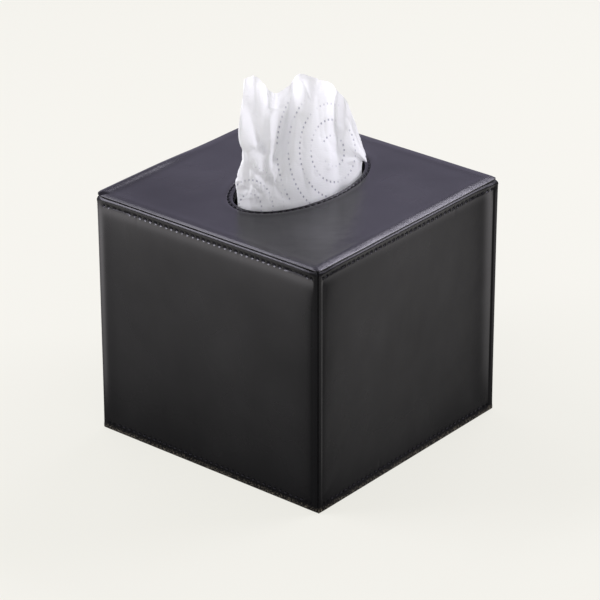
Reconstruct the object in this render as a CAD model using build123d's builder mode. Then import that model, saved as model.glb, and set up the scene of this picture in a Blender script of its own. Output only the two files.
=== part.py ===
from build123d import *
from math import radians, tan
import os

# A leather cover for a cube of tissues: five thin boards make a box with an open bottom, each board
# is lined inside and dressed outside in its own piece of soft leather, and a tissue stands up
# through the oval opening in the top. The cover is lifted off to change the pack.
# Millimetres, +Z up. The origin is the middle of the footprint, on the surface that it stands on.
# The front faces -Y and the right side +X.

# The cover
cover_width = 140.0
cover_depth = 140.0
cover_height = 129.5
board_thickness = 2.5
lining_thickness = 0.8
turned_leather = 0.9
overrun = 5.0

# Leather of the top
top_leather_thickness = 1.4
top_roll_width = 3.0
top_roll_height = 0.9
top_turn_width = 0.9
top_turn_height = 0.3
top_corner_radius = 2.0

# Leather of a side, with its thin foam, from the flat of the face in to the board
side_leather_thickness = 1.5
edge_proud = 0.5
edge_radius = 1.0
corner_radius = 0.9
corner_angle = 45
corner_crease_gap = 1.1
corner_crease_width = 1.0
corner_crease_depth = 0.35
hem_height = 9.0
pad_rise = 0.4
pad_crest = 2.6
pad_fade = 9.0

# Sewing
stitch_inset = 3.9
stitch_pitch = 3.4
stitch_length = 2.5
stitch_width = 0.8
stitch_rise = 0.45
stitch_end_angle = 45
groove_floor = 1.1
groove_side = 0.5
groove_depth = 0.6

# The oval opening, a little behind the middle
opening_x = -2.6
opening_y = 4.6
opening_half_width = 23.0
opening_half_length = 42.6
opening_bevel = 0.8
opening_stitch_inset = 2.7

# The folded stack of tissues that the cover stands over, and the room round and above it
pack_side_room = 9.7
pack_headroom = 26.8
pack_corner_radius = 6.0
pack_edge_radius = 2.5

# The tissue that is pulled up through the opening
tissue_rise = 64.0
tissue_thickness = 1.2
tissue_seat_gap = 0.2
tissue_rim_gap = 0.3

# The tissue's creases where it passes the rim, as shares of the opening's half width across and of
# its half length along, from the opening's middle. At the pack it is gathered to a share of that.
gathered_share = 0.45
rim_fold_shares = [
    (-0.26, -0.94), (0.06, -0.94), (0.11, -0.76), (0.44, -0.85), (0.26, -0.59), (0.68, -0.65),
    (0.87, -0.35), (0.96, 0.00), (0.68, 0.22), (0.86, 0.37), (0.76, 0.56), (0.58, 0.76)]

# The same creases half way up and at the free edge: the third number is the share of the rise
middle_fold_shares = [
    (-0.29, -0.89, 0.62), (-0.11, -0.72, 0.61), (-0.25, -0.49, 0.45), (0.02, -0.51, 0.54),
    (-0.07, -0.25, 0.44), (0.23, -0.28, 0.59), (0.50, -0.12, 0.50), (0.57, 0.14, 0.43),
    (0.40, 0.36, 0.33), (0.64, 0.38, 0.30), (0.71, 0.53, 0.21), (0.73, 0.75, 0.06)]
edge_fold_shares = [
    (-0.37, -0.72, 0.99), (-0.23, -0.58, 0.99), (-0.33, -0.38, 0.76), (-0.08, -0.38, 0.77),
    (-0.22, -0.06, 0.71), (0.15, -0.10, 0.91), (0.37, 0.08, 0.85), (0.40, 0.31, 0.76),
    (0.23, 0.53, 0.66), (0.52, 0.52, 0.59), (0.60, 0.65, 0.36), (0.65, 0.79, 0.11)]

# Worked out from the sizes above
UP = Vector(0, 0, 1)
panel_height = cover_height - top_leather_thickness
board_bottom = turned_leather
board_top = panel_height - turned_leather
roof_bottom = panel_height - board_thickness
roof_lining_bottom = roof_bottom - lining_thickness
board_outset = edge_proud + side_leather_thickness
board_inset = board_outset + board_thickness
wall = board_inset + lining_thickness
inner_width = cover_width - 2 * board_inset
inner_depth = cover_depth - 2 * board_inset
corner_setback = corner_radius / tan(radians(corner_angle / 2))
corner_crease_inset = corner_setback + corner_crease_gap + corner_crease_width
lip = stitch_inset - groove_floor / 2 - groove_side
lower_lip = stitch_inset + groove_floor / 2 + groove_side
opening_place = (opening_x, opening_y)
pack_width = cover_width - 2 * (wall + pack_side_room)
pack_depth = cover_depth - 2 * (wall + pack_side_room)
pack_height = roof_lining_bottom - pack_headroom
sides = {
    "front": (Vector(0, -1, 0), cover_depth / 2, cover_width / 2),
    "right": (Vector(1, 0, 0), cover_width / 2, cover_depth / 2),
    "back": (Vector(0, 1, 0), cover_depth / 2, cover_width / 2),
    "left": (Vector(-1, 0, 0), cover_width / 2, cover_depth / 2)}


def save(piece, label):
    piece.part.label = label
    export_step(piece.part, f"parts/{label}.step")


# The leather of one side: a sewn edge that stands proud, a sunken line of stitches and a padded
# swelling at its top and bottom, with the leather turned over the board's edges and hemmed inside
def side_leather(outward, reach, half_span):
    along = outward.cross(UP)
    flat = reach - edge_proud
    board_out = reach - board_outset
    board_in = reach - board_inset
    half = panel_height / 2
    with BuildPart() as leather:
        with BuildSketch(Plane(origin=(0, 0, half), x_dir=outward, z_dir=along)):
            with BuildLine():
                TangentArc((reach - edge_radius, half), (reach, half - edge_radius), tangent=(1, 0))
                Polyline(
                    (reach, half - edge_radius), (flat, half - lip),
                    (flat - groove_depth, half - lip - groove_side),
                    (flat - groove_depth, half - lower_lip + groove_side), (flat, half - lower_lip))
                TangentArc((flat + pad_rise, half - lower_lip - pad_crest), (flat, half - lower_lip),
                           tangent=(0, 1))
                TangentArc((flat + pad_rise, half - lower_lip - pad_crest),
                           (flat, half - lower_lip - pad_fade), tangent=(0, -1))
                Line((flat, half - lower_lip - pad_fade), (flat, 0))
                mirror(about=Plane.XZ)
                Polyline(
                    (reach - edge_radius, half), (board_in, half), (board_in, half - turned_leather),
                    (board_out, half - turned_leather), (board_out, turned_leather - half),
                    (board_in, turned_leather - half), (board_in, hem_height - half),
                    (reach - wall, hem_height - half), (reach - wall, -half),
                    (reach - edge_radius, -half))
            make_face()
        extrude(amount=half_span, both=True)
        with BuildSketch(Plane(origin=(0, 0, 0), x_dir=along, z_dir=UP)):
            crease = half_span - corner_crease_inset
            with BuildLine():
                Polyline(
                    (crease - corner_crease_width, reach), (crease, flat - corner_crease_depth),
                    (crease + corner_crease_width, reach), (half_span, reach),
                    (half_span - wall, reach - wall), (wall - half_span, reach - wall),
                    (-half_span, reach), (-crease - corner_crease_width, reach),
                    (-crease, flat - corner_crease_depth), (corner_crease_width - crease, reach),
                    close=True)
            make_face()
            outer_corners = vertices().sort_by(Axis.X)
            fillet([outer_corners[0], outer_corners[-1]], corner_radius)
        extrude(amount=panel_height, mode=Mode.INTERSECT)
    return leather


# One stitch: a low bar of thread along X that dips at both ends
def thread_stitch():
    with BuildPart() as stitch:
        with BuildSketch(Plane.XZ):
            Trapezoid(stitch_length, stitch_rise, stitch_end_angle, align=(Align.CENTER, Align.MIN))
        extrude(amount=stitch_width / 2, both=True)
    return stitch.part


# Two rows of stitches on one side, on the floor of the sunken lines
def side_stitching(outward, reach, half_span):
    row_length = 2 * (half_span - corner_crease_inset - corner_crease_width)
    count = int((row_length - stitch_length) / stitch_pitch) + 1
    middle = outward * (reach - edge_proud - groove_depth) + UP * (panel_height / 2)
    with BuildPart(Plane(origin=middle, x_dir=outward.cross(UP), z_dir=outward)) as stitching:
        with GridLocations(stitch_pitch, panel_height - 2 * stitch_inset, count, 2):
            add(thread_stitch())
    return stitching


# A flat panel inside one wall: its outer face lies `outset` in from the cover's side
def inner_panel(outward, reach, length, outset, thickness, bottom, top):
    floor = Plane(origin=(0, 0, bottom), x_dir=outward.cross(UP), z_dir=UP)
    with BuildPart() as panel:
        with BuildSketch(floor):
            with Locations((0, reach - outset)):
                Rectangle(length, thickness, align=(Align.CENTER, Align.MAX))
        extrude(amount=top - bottom)
    return panel


# The outline of the top's leather seen from one edge: a flat strip that rolls over at both ends
def edge_roll(width):
    end = width / 2
    roll_start = top_leather_thickness - top_roll_height
    with BuildSketch() as roll:
        with BuildLine():
            Polyline(
                (0, 0), (end, 0), (end, roll_start),
                (end - top_turn_width, top_leather_thickness - top_turn_height),
                (end - top_roll_width, top_leather_thickness), (0, top_leather_thickness))
            mirror(about=Plane.YZ)
        make_face()
    return roll.sketch


os.makedirs("parts", exist_ok=True)

# The leather of the top rolls over at its four edges and turns down through the opening
with BuildPart() as top_leather:
    back_edge = (0, cover_depth / 2, panel_height)
    with BuildSketch(Plane(origin=back_edge, x_dir=(1, 0, 0), z_dir=(0, -1, 0))):
        add(edge_roll(cover_width))
    extrude(amount=cover_depth)
    left_edge = (-cover_width / 2, 0, panel_height)
    with BuildSketch(Plane(origin=left_edge, x_dir=(0, 1, 0), z_dir=(1, 0, 0))):
        add(edge_roll(cover_depth))
    extrude(amount=cover_width, mode=Mode.INTERSECT)
    with BuildSketch(Plane.XY.offset(panel_height)):
        RectangleRounded(cover_width, cover_depth, top_corner_radius)
    extrude(amount=top_leather_thickness, mode=Mode.INTERSECT)
    with BuildSketch(Plane.XY.offset(roof_lining_bottom)):
        with Locations(opening_place):
            Ellipse(opening_half_width + turned_leather, opening_half_length + turned_leather)
    extrude(amount=cover_height - top_leather_thickness / 2 - roof_lining_bottom)
    with BuildSketch(Plane.XY.offset(cover_height)):
        with Locations(opening_place):
            Ellipse(opening_half_width, opening_half_length)
    extrude(amount=roof_lining_bottom - cover_height - overrun, mode=Mode.SUBTRACT)
    rim_edges = edges().filter_by(GeomType.ELLIPSE).group_by(Axis.Z)[-1]
    chamfer(rim_edges, opening_bevel)
    with BuildSketch(Plane.XY.offset(cover_height)):
        with Locations(opening_place):
            Ellipse(opening_half_width + opening_stitch_inset + groove_floor / 2,
                    opening_half_length + opening_stitch_inset + groove_floor / 2)
            Ellipse(opening_half_width + opening_stitch_inset - groove_floor / 2,
                    opening_half_length + opening_stitch_inset - groove_floor / 2,
                    mode=Mode.SUBTRACT)
    extrude(amount=-groove_depth, mode=Mode.SUBTRACT)
save(top_leather, "top_leather")

# The board and the lining of the top, each with its own oval cut-out
with BuildPart() as top_board:
    with BuildSketch(Plane.XY.offset(roof_bottom)):
        Rectangle(inner_width, inner_depth)
        with Locations(opening_place):
            Ellipse(opening_half_width + turned_leather, opening_half_length + turned_leather,
                    mode=Mode.SUBTRACT)
    extrude(amount=board_thickness)
save(top_board, "top_board")

with BuildPart() as top_lining:
    with BuildSketch(Plane.XY.offset(roof_lining_bottom)):
        Rectangle(inner_width - 2 * lining_thickness, inner_depth - 2 * lining_thickness)
        with Locations(opening_place):
            Ellipse(opening_half_width + turned_leather, opening_half_length + turned_leather,
                    mode=Mode.SUBTRACT)
    extrude(amount=lining_thickness)
save(top_lining, "top_lining")

# The four sides. The front and back boards and linings run the full width, and the others butt
# against them
for name, (outward, reach, half_span) in sides.items():
    full_width = name in ("front", "back")
    board_length = 2 * (half_span - (board_outset if full_width else board_inset))
    lining_length = 2 * (half_span - (board_inset if full_width else wall))
    save(side_leather(outward, reach, half_span), f"{name}_leather")
    save(inner_panel(outward, reach, board_length, board_outset, board_thickness,
                     board_bottom, board_top), f"{name}_board")
    save(inner_panel(outward, reach, lining_length, board_inset, lining_thickness,
                     hem_height, roof_bottom), f"{name}_lining")
    save(side_stitching(outward, reach, half_span), f"{name}_stitching")

# The ring of stitches round the opening
with BuildLine(Plane.XY.offset(cover_height - groove_depth)) as stitch_ring:
    EllipticalCenterArc(opening_place, opening_half_width + opening_stitch_inset,
                        opening_half_length + opening_stitch_inset, arc_size=360)
ring_edge = stitch_ring.edges()[0]
ring_count = round(ring_edge.length / stitch_pitch)
ring_shares = [number / ring_count for number in range(ring_count)]
ring_places = [
    Plane(origin=ring_edge @ share, x_dir=ring_edge % share, z_dir=UP).location
    for share in ring_shares]
with BuildPart() as opening_stitching:
    with Locations(*ring_places):
        add(thread_stitch())
save(opening_stitching, "opening_stitching")

# The stack of folded tissues
with BuildPart() as tissue_pack:
    with BuildSketch():
        RectangleRounded(pack_width, pack_depth, pack_corner_radius)
    extrude(amount=pack_height)
    fillet(edges().group_by(Axis.Z)[-1], pack_edge_radius)
save(tissue_pack, "tissue_pack")


# The pulled tissue: a sheet gathered in creases that open out upwards to its free edge. It is flat
# from crease to crease, so each piece between four points is two three-cornered facets.
def opening_point(across, along, height):
    return Vector(opening_x + across * opening_half_width, opening_y + along * opening_half_length,
                  height)


# One row of points moved half the sheet's thickness to one side
def moved_row(points, side):
    squares = [(after - before).cross(UP).normalized() for before, after in zip(points, points[1:])]
    squares = squares[:1] + squares + squares[-1:]
    return [point + (before + after).normalized() * (side * tissue_thickness / 2)
            for point, before, after in zip(points, squares, squares[1:])]


def facets(rows):
    pieces = []
    for lower, upper in zip(rows, rows[1:]):
        for number in range(len(lower) - 1):
            here, there = lower[number], upper[number + 1]
            pieces.append(Face(Wire.make_polygon([here, lower[number + 1], there])))
            pieces.append(Face(Wire.make_polygon([here, there, upper[number]])))
    return pieces


crease_rows = [
    [opening_point(gathered_share * across, gathered_share * along, pack_height + tissue_seat_gap)
     for across, along in rim_fold_shares],
    [opening_point(across, along, roof_lining_bottom - tissue_rim_gap)
     for across, along in rim_fold_shares],
    [opening_point(across, along, cover_height + tissue_rim_gap)
     for across, along in rim_fold_shares],
    [opening_point(across, along, cover_height + rise * tissue_rise)
     for across, along, rise in middle_fold_shares],
    [opening_point(across, along, cover_height + rise * tissue_rise)
     for across, along, rise in edge_fold_shares]]
near_skin = [moved_row(row, 1) for row in crease_rows]
far_skin = [moved_row(row, -1) for row in crease_rows]
rims = [
    [near_skin[0], far_skin[0]],
    [near_skin[-1], far_skin[-1]],
    [[row[0] for row in near_skin], [row[0] for row in far_skin]],
    [[row[-1] for row in near_skin], [row[-1] for row in far_skin]]]
sheet = facets(near_skin) + facets(far_skin)
for rim in rims:
    sheet += facets(rim)
with BuildPart() as pulled_tissue:
    add(Solid(Shell(sheet)))
save(pulled_tissue, "pulled_tissue")
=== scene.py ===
# %% [markdown]
# # A leather cover for a box of tissues
#
# The real object is a cube of thin board, dressed in black leather. Each side and the top is its own
# piece of leather, turned over the board's edges, sewn near them and glued down. The sewing pulls the
# leather into a narrow valley, so what catches the light is a bead along every edge, a row of dark
# stitches below it and a soft swelling after that. A white tissue stands up through the oval opening.
#
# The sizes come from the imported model. The leather, the thread and the tissue are modelled again here
# as fine meshes, because their shapes are soft. The boards, the linings and the collision shapes stay.

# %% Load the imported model
import math

import bmesh
import bpy
import numpy as np
from mathutils import Matrix, Vector, noise


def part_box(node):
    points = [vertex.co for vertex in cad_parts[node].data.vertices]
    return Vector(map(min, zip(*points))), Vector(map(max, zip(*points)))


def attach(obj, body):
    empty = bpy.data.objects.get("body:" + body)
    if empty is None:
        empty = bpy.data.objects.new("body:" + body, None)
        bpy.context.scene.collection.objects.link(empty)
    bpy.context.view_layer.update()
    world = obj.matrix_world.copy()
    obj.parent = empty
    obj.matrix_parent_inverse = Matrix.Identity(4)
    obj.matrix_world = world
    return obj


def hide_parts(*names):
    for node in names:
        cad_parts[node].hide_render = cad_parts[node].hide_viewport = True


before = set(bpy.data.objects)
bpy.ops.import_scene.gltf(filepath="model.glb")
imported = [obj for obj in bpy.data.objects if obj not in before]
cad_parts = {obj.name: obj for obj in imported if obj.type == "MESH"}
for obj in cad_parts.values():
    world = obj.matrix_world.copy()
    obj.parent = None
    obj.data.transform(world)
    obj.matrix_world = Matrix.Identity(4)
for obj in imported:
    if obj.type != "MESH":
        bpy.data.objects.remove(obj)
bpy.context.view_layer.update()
MM = 0.001

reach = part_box("front_leather")[0][1] / -MM
seam_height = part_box("front_leather")[1][2] / MM
cover_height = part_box("top_leather")[1][2] / MM
seam_top = seam_height + 0.8
print(f"cover {2 * reach:.1f} mm wide, {cover_height:.1f} mm high, seam at {seam_height:.1f} mm")

# %% [markdown]
# ## Small helpers
#
# Colours are picked as sRGB hex values, as in any paint program, but the renderer works in linear
# light, so one function turns them over. The next adds one shader node with its settings and links.
# The rest are the steps that come back in every material, so each material reads as a recipe.


# %% Colour and node helpers
def linear(hex_colour):
    values = [int(hex_colour[i:i + 2], 16) / 255 for i in (1, 3, 5)]
    return tuple([v / 12.92 if v <= 0.04045 else ((v + 0.055) / 1.055) ** 2.4 for v in values] + [1.0])


def add_node(tree, kind, inputs=None, **settings):
    node = tree.nodes.new(kind)
    for name, value in settings.items():
        setattr(node, name, value)
    for name, value in (inputs or {}).items():
        if isinstance(value, bpy.types.NodeSocket):
            tree.links.new(value, node.inputs[name])
        else:
            node.inputs[name].default_value = value
    return node


def per_metre(size_mm):
    """The texture scale that makes one feature of a pattern this many millimetres long."""
    return 1 / (size_mm * MM)


def new_material(name):
    material = bpy.data.materials.new(name)
    material.use_nodes = True
    material.node_tree.nodes.clear()
    return material, material.node_tree


def compute(tree, operation, a, b=None):
    values = {0: a} if b is None else {0: a, 1: b}
    return add_node(tree, "ShaderNodeMath", values, operation=operation).outputs["Value"]


def compute_vector(tree, operation, a, b, output="Vector"):
    step = add_node(tree, "ShaderNodeVectorMath", {0: a, 1: b}, operation=operation)
    return step.outputs[output]


def remap(tree, value, start, end, low=0.0, high=1.0, clamp=True):
    """Turns the range from start to end into the range from low to high."""
    return add_node(tree, "ShaderNodeMapRange", {
        "Value": value, "From Min": start, "From Max": end, "To Min": low, "To Max": high},
        clamp=clamp).outputs["Result"]


def noise_field(tree, place, scale, detail, roughness=0.5):
    return add_node(tree, "ShaderNodeTexNoise", {
        "Vector": place, "Scale": scale, "Detail": detail, "Roughness": roughness}).outputs["Fac"]


def blend(tree, factor, first, second):
    """A colour that is the first where the factor is nought and the second where it is one."""
    first, second = [linear(c) if isinstance(c, str) else c for c in (first, second)]
    return add_node(tree, "ShaderNodeMix", {"Factor": factor, "A": first, "B": second},
                    data_type="RGBA").outputs["Result"]


def relief(tree, height, strength, depth_mm, below=None, invert=False):
    """Presses a pattern of heights into the surface, on top of the relief below it."""
    inputs = {"Height": height, "Strength": strength, "Distance": depth_mm * MM}
    if below is not None:
        inputs["Normal"] = below
    return add_node(tree, "ShaderNodeBump", inputs, invert=invert).outputs["Normal"]


def principled(tree, inputs):
    shader = add_node(tree, "ShaderNodeBsdfPrincipled", inputs)
    add_node(tree, "ShaderNodeOutputMaterial", {"Surface": shader.outputs["BSDF"]})


# %% [markdown]
# ## The leather
#
# This is corrected leather: split hide with its grain sanded flat, sprayed with a thin black
# polyurethane finish and ironed. To the eye it is a very dark, slightly violet black whose brightness
# is nearly all reflection. The finish is smooth, with fine pores about half a millimetre apart and
# patches where the hide underneath took the ironing differently, so the gloss wanders a little.
# At the foot the black finish has worn off. A Principled shader does this: a near-black base, a low
# IOR, and a reflection that changes with the place. Painted shade and painted shine are put into that
# reflection. It is made weaker towards the foot, under the stitches, beside them and along some upright
# edges, and stronger in bands below the stitches, in narrow lines and in patches on the top. How much
# is stored on the mesh as a number for each point.


# %% Coated black leather
def coated_leather():
    material, tree = new_material("coated_black_leather")
    place = add_node(tree, "ShaderNodeTexCoord").outputs["Object"]
    height = add_node(tree, "ShaderNodeSeparateXYZ", {"Vector": place}).outputs["Z"]
    # The painted shade, and below nought the painted shine, stored on each point of the mesh
    painted_shade_and_shine = add_node(tree, "ShaderNodeAttribute", attribute_name="painted_shade_and_shine").outputs["Fac"]
    patches = noise_field(tree, place, per_metre(45), 2.0)
    pores = add_node(tree, "ShaderNodeTexVoronoi", {
        "Vector": place, "Scale": per_metre(0.62), "Randomness": 1.0}, feature="F1")
    # The skin has slow waves, on them the sanded grain, and on that the pores
    waves = relief(tree, noise_field(tree, place, per_metre(13), 2.0), 0.5, 0.30)
    grain = relief(tree, noise_field(tree, place, per_metre(1.5), 4.0, 0.6), 0.30, 0.07, waves)
    skin = relief(tree, pores.outputs["Distance"], 0.18, 0.06, grain)
    # Painted shade and shine: the reflection is made weaker towards the foot and wanders in random
    # patches.
    # The painted shade stored on each point weakens it, and below nought that number is painted shine
    # and strengthens it
    shine = compute(tree, "MULTIPLY", remap(tree, height, 0.0, 0.128, 0.075, 0.45),
                    remap(tree, patches, 0.3, 0.7, 0.88, 1.12))
    shine = compute(tree, "MULTIPLY", shine,
                    remap(tree, painted_shade_and_shine, -1.0, 1.0, 1.88, 0.12, clamp=False))
    # On the lowest 3 mm the black is worn, and fibres of the brown hide show
    fibres = noise_field(tree, place, per_metre(0.9), 3.0, 0.7)
    worn = compute(tree, "MULTIPLY", remap(tree, fibres, 0.50, 0.64, 0.0, 0.6),
                   remap(tree, height, 3.0 * MM, 1.2 * MM))
    black = blend(tree, patches, "#0c0c0d", "#131314")
    principled(tree, {
        "Base Color": blend(tree, worn, black, "#7d7668"),
        "Roughness": remap(tree, patches, 0.3, 0.7, 0.21, 0.30), "IOR": 1.452,
        "Specular IOR Level": shine, "Specular Tint": linear("#faf8ff"), "Normal": skin})
    return material


leather = coated_leather()
print("made", leather.name)

# %% [markdown]
# ## Thread, board and lining
#
# The thread is bonded polyester, about 0.8 mm thick, twisted from three plies and waxed. Its sheen
# comes in short glints where a ply crosses the light. The board is grey recycled board, flat and
# slightly speckled with fibre. The lining is a short-napped black cloth that swallows light.


# %% Bonded thread, grey board and lining cloth
def bonded_thread():
    material, tree = new_material("bonded_polyester_thread")
    place = add_node(tree, "ShaderNodeUVMap", uv_map="thread").outputs["UV"]
    twist = add_node(tree, "ShaderNodeTexWave", {
        "Vector": place, "Scale": 1.0, "Distortion": 0.4, "Detail": 1.0},
        bands_direction="DIAGONAL").outputs["Fac"]
    principled(tree, {"Base Color": blend(tree, twist, "#050407", "#0e0c12"), "Roughness": 0.6,
                      "IOR": 1.25, "Normal": relief(tree, twist, 0.8, 0.1)})
    return material


def grey_board():
    material, tree = new_material("recycled_grey_board")
    place = add_node(tree, "ShaderNodeTexCoord").outputs["Object"]
    fibres = noise_field(tree, place, per_metre(0.9), 5.0, 0.7)
    principled(tree, {"Base Color": blend(tree, fibres, "#8f8b84", "#b5b1a9"), "Roughness": 0.85,
                      "IOR": 1.45, "Normal": relief(tree, fibres, 0.5, 0.08)})
    return material


def napped_lining():
    material, tree = new_material("napped_lining_cloth")
    place = add_node(tree, "ShaderNodeTexCoord").outputs["Object"]
    nap = noise_field(tree, place, per_metre(0.5), 3.0, 0.7)
    brushed = noise_field(tree, place, per_metre(18), 2.0)
    principled(tree, {"Base Color": blend(tree, brushed, "#1b1b1e", "#2b2b2f"), "Roughness": 0.95,
                      "IOR": 1.4, "Sheen Weight": 0.4, "Sheen Roughness": 0.5,
                      "Normal": relief(tree, nap, 0.6, 0.15)})
    return material


thread = bonded_thread()
board = grey_board()
lining = napped_lining()
for node, finish in [("board", board), ("lining", lining)]:
    for side in ["top", "front", "right", "back", "left"]:
        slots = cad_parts[f"{side}_{node}"].data.materials
        slots.clear()
        slots.append(finish)
print("made", thread.name, board.name, lining.name)

# %% [markdown]
# ## A grid of points as a mesh
#
# Leather, thread, paper and tissue are all skins, and each is built here as a grid: rows of points
# that are joined into four-cornered faces. A grid closes on itself along its rows, its columns or
# both. With numpy the whole grid is worked out at once, and a soft shape is then a sum of named bumps.


# %% Mesh helpers
def add_piece(name, mesh, nodes):
    """Puts a mesh into the scene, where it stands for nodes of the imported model."""
    piece = bpy.data.objects.new(name, mesh)
    bpy.context.collection.objects.link(piece)
    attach(piece, "root")
    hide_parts(*nodes)
    return piece


def add_grid(name, points, finish, nodes, wrap_rows=False, wrap_columns=False, caps=False,
             crisp=40, painted_shade_and_shine=None):
    rows, columns = points.shape[:2]
    index = np.arange(rows * columns).reshape(rows, columns)
    joined = np.vstack([index, index[:1]]) if wrap_rows else index
    joined = np.hstack([joined, joined[:, :1]]) if wrap_columns else joined
    faces = np.stack([joined[:-1, :-1], joined[:-1, 1:], joined[1:, 1:], joined[1:, :-1]], axis=-1)
    faces = faces.reshape(-1, 4).tolist()
    if caps:
        faces.append(index[:, 0].tolist())
        faces.append(index[::-1, -1].tolist())
    mesh = bpy.data.meshes.new(name)
    mesh.from_pydata((points.reshape(-1, 3) * MM).tolist(), [], faces)
    mesh.polygons.foreach_set("use_smooth", [True] * len(mesh.polygons))
    if crisp:
        mesh.set_sharp_from_angle(angle=math.radians(crisp))
    mesh.materials.append(finish)
    # Stores on each point the leather's painted shade, and below nought its painted shine
    if painted_shade_and_shine is not None:
        layer = mesh.attributes.new("painted_shade_and_shine", "FLOAT", "POINT")
        layer.data.foreach_set("value", np.clip(painted_shade_and_shine, *shade_and_shine_range).reshape(-1))
    print(f"{name}: {len(mesh.polygons)} faces")
    return add_piece(name, mesh, nodes)


shade_and_shine_range = (-3.5, 1)


def bump_at(distance, centre, width):
    return np.exp(-(((distance - centre) / width) ** 2))


def fade_in(distance, start, end):
    t = np.clip((distance - start) / (end - start), 0, 1)
    return t * t * (3 - 2 * t)


def rounded_edge(distance, radius):
    """How far a rounded edge has dropped at this distance in from it."""
    inside = np.clip(radius - distance, 0, radius)
    return radius - np.sqrt(radius ** 2 - inside ** 2)


def soft_noise(points, size_mm, seed):
    shift = Vector((seed * 7.3, seed * 3.1, seed * 5.7))
    flat = [noise.noise(Vector(p) / size_mm + shift) for p in points.reshape(-1, 3).tolist()]
    return np.array(flat).reshape(points.shape[:-1])


# %% [markdown]
# ## A side's leather
#
# Seen in section, the leather comes up the face, stands half a millimetre proud as a bead at the edge,
# turns over the board and comes down inside, where it is hemmed. The stitches lie 3.9 mm from the
# edge, every 3.4 mm. Under each stitch the leather is pressed down, and past the row it swells over its
# thin foam and settles flat again after a centimetre. The same happens at the upright edges, where the
# leathers of two sides meet in a mitre with a narrow valley between them. So the face is a flat plane
# plus bumps that depend on the distance to each edge, and the rest of the section is plain folds.

# %% Sizes of the sewing and of a side
flat_inset = 0.5
stitch_inset = 3.9
stitch_pitch = 3.4
stitch_length = 2.5
board_outset = 2.0
board_inset = 4.5
wall = 5.3
turned_leather = 0.9
hem_height = 9.0
crease_inset = 4.2

near_edge = np.array([
    0, 0.1, 0.25, 0.45, 0.7, 1.0, 1.3, 1.65, 2.0, 2.35, 2.65, 2.9, 3.1, 3.3, 3.5, 3.7, 3.9, 4.1,
    4.3, 4.5, 4.75, 5.0, 5.35, 5.8, 6.3, 6.9, 7.6, 8.4, 9.3, 10.3, 11.4, 12.7, 14.2, 16, 18.2, 21])
stitch_columns = 2 * int((reach - crease_inset - 1.6) / stitch_pitch)
stitch_places = (np.arange(stitch_columns) - (stitch_columns - 1) / 2) * stitch_pitch
print(f"{stitch_columns} stitches in a row, {stitch_places[-1]:.1f} mm from the middle to the last")


def stitch_press(along_row, pitch):
    """One where a stitch lies on the leather and nought between two stitches."""
    return 0.5 + 0.5 * np.tanh(3.0 * (np.cos(2 * np.pi * along_row / pitch) + 0.30))


def sewn_relief(edge, along_row, lip_height):
    """The relief across one sewn edge: its bead, the groove that the stitches pull, and the pit
    under each stitch. The groove is steep next to the bead and runs out slowly over the face."""
    press = stitch_press(along_row, stitch_pitch)
    bead = 0.52 * bump_at(edge, 1.2, 1.2)
    past, before = np.clip(edge - stitch_inset, 0, None), np.clip(stitch_inset - edge, 0, None)
    slack = 0.45 * (1 - press) * np.exp(-past / 1.0)
    groove = -0.62 * np.exp(-past / 3.4 - before / 0.9) * (1 - slack)
    pit = -0.36 * press * bump_at(edge, stitch_inset, 0.50)
    lip = lip_height * press * bump_at(edge, stitch_inset + 1.1, 0.42)
    return bead, groove, pit + lip


def face_relief(u, z, look):
    """How far the face stands out from its flat plane."""
    side_edge = reach - np.abs(u)
    ends = fade_in(side_edge, 2.0, 4.4)
    total = np.zeros(np.broadcast(u, z).shape)
    no_bead = np.ones(total.shape)
    for edge, strength in ((seam_height - z, 1.0), (z, 0.5)):
        bead, groove, stitched = sewn_relief(edge, u - stitch_places[0], look["lip"])
        bead = bead * strength * (0.35 + 0.65 * fade_in(side_edge, 0.5, 5.0))
        no_bead = no_bead * (1 - bead)
        total += (groove + stitched) * strength * ends
    seam_radius = 1.2 + 1.3 * fade_in(side_edge, 0.0, 5.0)
    total -= rounded_edge(seam_top - z, seam_radius) + rounded_edge(z, 0.5)
    total += 1 - no_bead - rounded_edge(side_edge, 0.6)
    between = fade_in(np.minimum(seam_height - z, z), 1.0, 6.0)
    rim = np.maximum(look["foot"] * bump_at(z, 0, 8.0), 0)
    for sign, (place, depth, tail, lift) in zip((1, -1), look["upright"]):
        rim = np.maximum(rim, np.where(u * sign > 0, lift * bump_at(side_edge, 0, 10.0), 0.0))
        past, before = np.clip(side_edge - place, 0, None), np.clip(place - side_edge, 0, None)
        groove = depth * np.exp(-past / tail - before / 0.7)
        total -= np.where(u * sign > 0, groove, 0.0) * between
    total += rim * fade_in(seam_top - z, 0.2, 3.0)
    waist = 1 - np.clip(np.abs(2 * z / seam_height - 1), 0, 1) ** 4
    total -= waist * (0.1 + 0.3 * fade_in(side_edge, 1.5, 10))
    return total


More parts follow.
